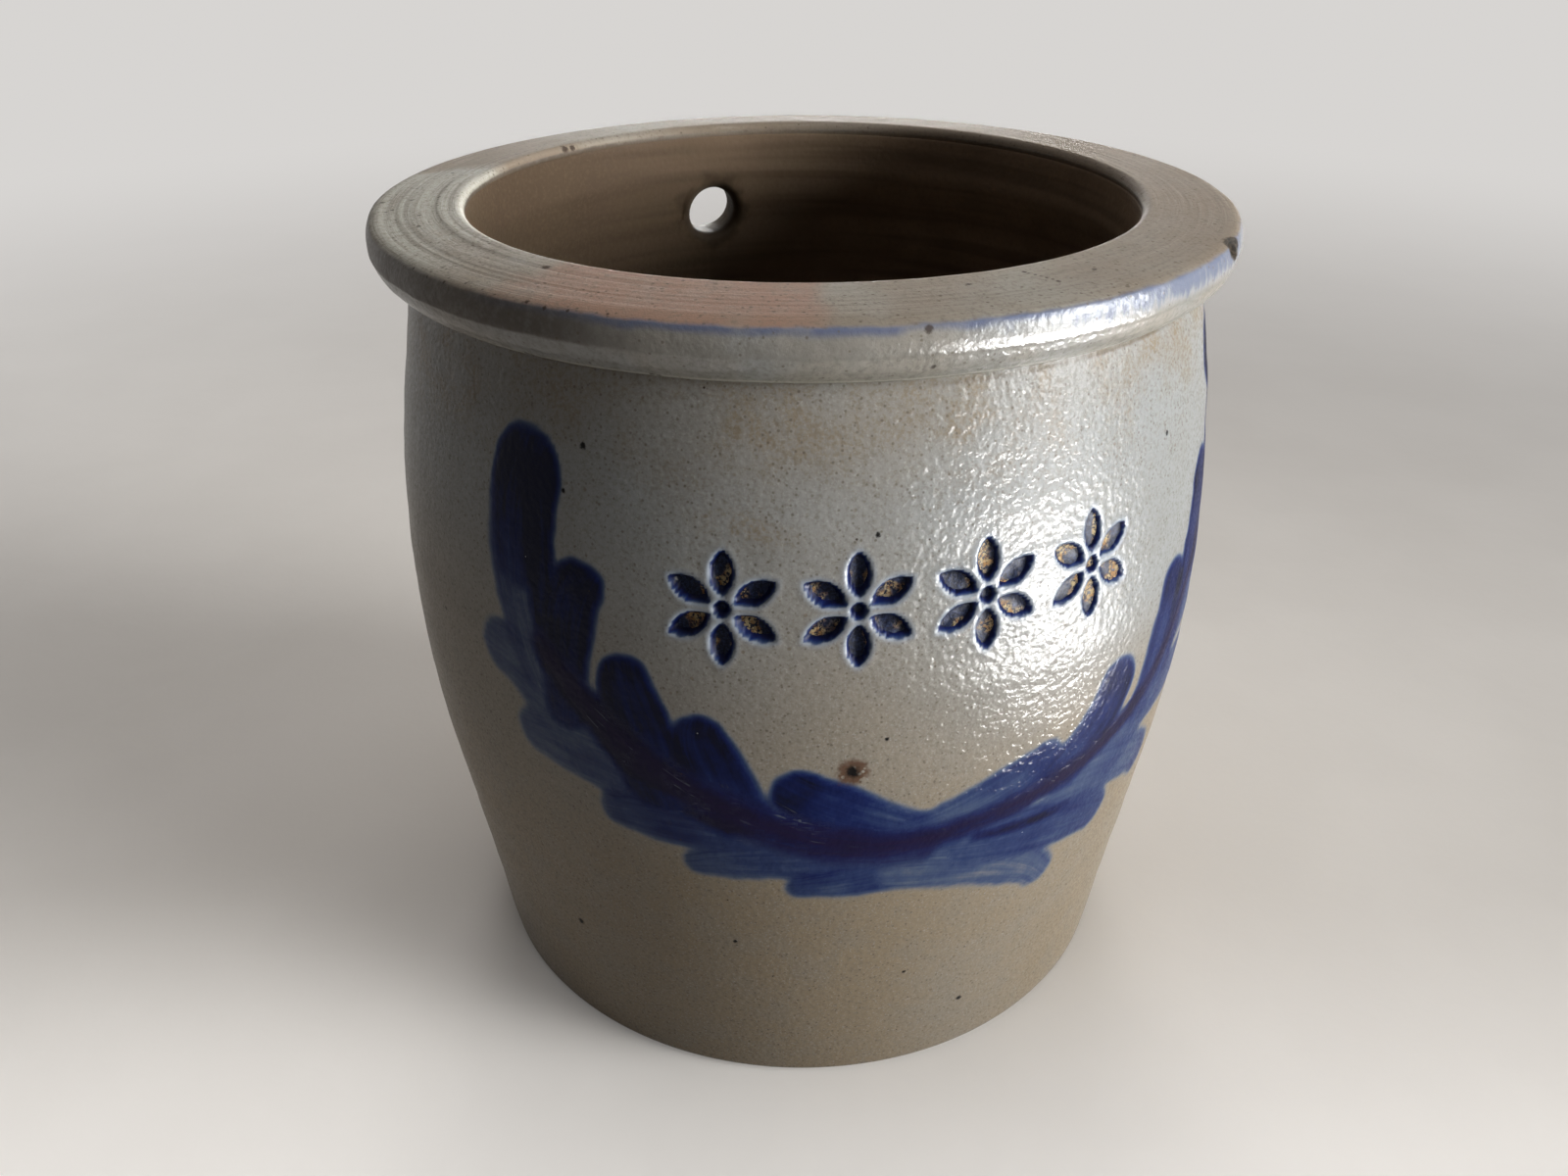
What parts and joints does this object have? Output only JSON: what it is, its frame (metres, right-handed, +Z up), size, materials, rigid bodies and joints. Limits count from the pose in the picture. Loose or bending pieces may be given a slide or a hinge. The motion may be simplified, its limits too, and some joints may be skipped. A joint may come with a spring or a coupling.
{
  "type": "salt crock",
  "caption": "Open-mouthed thrown stoneware salt crock with a bellied wall, folded flat collar, hanging hole, stamped rosettes and a brushed cobalt leaf garland.",
  "frame": {"origin": "middle of the foot, on the surface that the crock stands on", "axes": "+Z up through the mouth, -Y out of the stamped front, +Y out of the hanging hole in the back"},
  "size_m": [0.126, 0.126, 0.1246],
  "materials": {
    "floor_clay": "matte wire-cut stoneware, brownish grey",
    "wall_glaze": "salt-glazed grey stoneware with fine pebbling and iron specks",
    "collar_clay": "dry grey-buff stoneware with turning grooves and a pink flash",
    "stamp_cobalt": "near-black cobalt slip with ochre residue",
    "stem_cobalt": "near-black cobalt slip under salt glaze",
    "leaf_cobalt": "deep cobalt slip under salt glaze",
    "pale_cobalt": "thinned slate-blue cobalt slip under salt glaze"
  },
  "bodies": {
    "root": {"floor_disc": "floor_clay", "body_wall": "wall_glaze", "rim_collar": "collar_clay", "stamp_slip": "stamp_cobalt", "garland_stem": "stem_cobalt", "upper_leaves": "leaf_cobalt", "lower_leaves": "pale_cobalt"}
  },
  "joints": []
}
